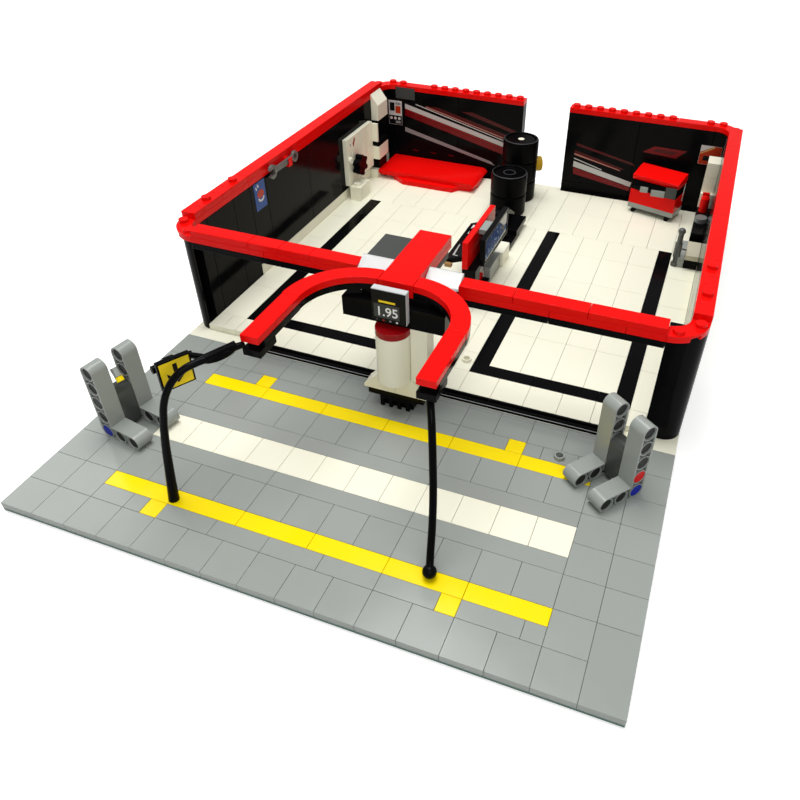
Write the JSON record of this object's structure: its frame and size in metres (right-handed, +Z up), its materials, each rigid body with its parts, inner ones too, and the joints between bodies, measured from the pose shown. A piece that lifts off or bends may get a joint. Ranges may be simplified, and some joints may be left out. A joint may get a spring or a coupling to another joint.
{
  "type": "brick-built toy garage",
  "caption": "Brick-built toy race garage: two open bays with black walls and a red rim, a curved gantry over a tiled pit lane, hoses, tyre stacks, stands, desk and tool trolley.",
  "frame": {"origin": "centre of the ground plan, at the underside of the baseplates", "axes": "+X to the right seen from the pit lane, +Y from the pit lane to the back wall, +Z up"},
  "size_m": [0.2558, 0.3838, 0.0717],
  "materials": {
    "black_plastic": "gloss",
    "red_plastic": "gloss",
    "dark_red_plastic": "gloss",
    "white_plastic": "gloss",
    "light_grey_plastic": "gloss",
    "dark_grey_plastic": "gloss",
    "yellow_plastic": "gloss",
    "green_plastic": "gloss",
    "blue_screen": "gloss",
    "clear_plastic": "clear gloss",
    "silver_plastic": "satin",
    "tyre_rubber": "matte"
  },
  "bodies": {
    "garage": {"pit_baseplate": "green_plastic", "garage_baseplate": "green_plastic", "pit_tiles_grey": "light_grey_plastic", "pit_tiles_yellow": "yellow_plastic", "pit_tiles_white": "white_plastic", "floor_plates": "white_plastic", "bay_tiles_white": "white_plastic", "bay_lines_black": "black_plastic", "door_rail": "black_plastic", "corner_panel_left": "black_plastic", "corner_panel_right": "black_plastic", "side_wall_left": "black_plastic", "side_wall_right": "black_plastic", "back_wall_left": "black_plastic", "back_wall_right": "black_plastic", "wall_foot_course": "white_plastic", "rim_left": "red_plastic", "rim_right": "red_plastic", "rim_back": "red_plastic", "front_beam_left": "red_plastic", "front_beam_right": "red_plastic", "beam_underplates": "black_plastic", "gantry_left": "red_plastic", "gantry_right": "red_plastic", "gantry_bar": "red_plastic", "gantry_frame": "black_plastic", "roof_slopes": "clear_plastic", "roof_tile": "dark_grey_plastic", "display_tile": "light_grey_plastic", "pillar_cap": "dark_red_plastic", "fuel_pillar": "white_plastic", "pillar_plinth": "black_plastic", "hose_left": "black_plastic", "hose_right": "black_plastic", "tyres_lower": "tyre_rubber", "floor_jack": "black_plastic", "desk_frame": "black_plastic", "desk_spine": "red_plastic", "desk_screen": "blue_screen", "bench": "red_plastic", "service_wall": "white_plastic", "wrench_clip": "red_plastic", "side_counter": "black_plastic", "side_boxes": "white_plastic", "tool_bar": "silver_plastic", "extinguisher": "red_plastic"},
    "stand_left": {"stand_left_beams": "light_grey_plastic", "stand_left_core": "dark_grey_plastic"},
    "stand_right": {"stand_right_beams": "light_grey_plastic", "stand_right_core": "dark_grey_plastic"},
    "hung_sign": {"sign": "yellow_plastic"},
    "hand_wheel_body": {"hand_wheel": "black_plastic"},
    "wrench_body": {"wrench": "silver_plastic"},
    "trolley": {"trolley_chassis": "light_grey_plastic", "trolley_body": "red_plastic", "trolley_drawers": "black_plastic"},
    "trolley_front_wheels": {"trolley_wheels_front": "black_plastic"},
    "trolley_rear_wheels": {"trolley_wheels_rear": "black_plastic"},
    "front_tyre": {"tyre_front_top": "tyre_rubber"},
    "back_tyre": {"tyre_back_top": "tyre_rubber"}
  },
  "joints": [
    {"name": "stand_left_turn", "type": "hinge", "parent": "garage", "child": "stand_left", "pos_m": [-0.1106, -0.1324, 0.0045], "axis": [0, 0, 1], "range_deg": [-60, 40]},
    {"name": "stand_right_turn", "type": "hinge", "parent": "garage", "child": "stand_right", "pos_m": [0.1055, -0.0878, 0.0045], "axis": [0, 0, 1], "range_deg": [-20, 90]},
    {"name": "sign_tilt", "type": "hinge", "parent": "garage", "child": "hung_sign", "pos_m": [-0.06186, -0.14764, 0.0632], "axis": [0.4909, 0.8712, 0], "range_deg": [-8, 8]},
    {"name": "hand_wheel_spin", "type": "hinge", "parent": "garage", "child": "hand_wheel_body", "pos_m": [-0.1156, 0.121, 0.0296], "axis": [1, 0, 0], "continuous": true},
    {"name": "wrench_lift", "type": "slide", "parent": "garage", "child": "wrench_body", "axis": [0, 0, 1], "range_m": [0, 0.015]},
    {"name": "trolley_roll", "type": "slide", "parent": "garage", "child": "trolley", "axis": [0.9659, -0.2588, 0], "range_m": [-0.01, 0.004]},
    {"name": "front_wheels_spin", "type": "hinge", "parent": "trolley", "child": "trolley_front_wheels", "pos_m": [0.07301, 0.17211, 0.0093], "axis": [0.2588, 0.9659, 0], "continuous": true},
    {"name": "rear_wheels_spin", "type": "hinge", "parent": "trolley", "child": "trolley_rear_wheels", "pos_m": [0.09619, 0.16589, 0.0093], "axis": [0.2588, 0.9659, 0], "continuous": true},
    {"name": "front_tyre_lift", "type": "slide", "parent": "garage", "child": "front_tyre", "axis": [0, 0, 1], "range_m": [0, 0.02]},
    {"name": "back_tyre_lift", "type": "slide", "parent": "garage", "child": "back_tyre", "axis": [0, 0, 1], "range_m": [0, 0.02]}
  ],
  "couplings": [
    {"joint": "front_wheels_spin", "follows": "trolley_roll", "rad_per_m": 666.67},
    {"joint": "rear_wheels_spin", "follows": "trolley_roll", "rad_per_m": 666.67}
  ]
}
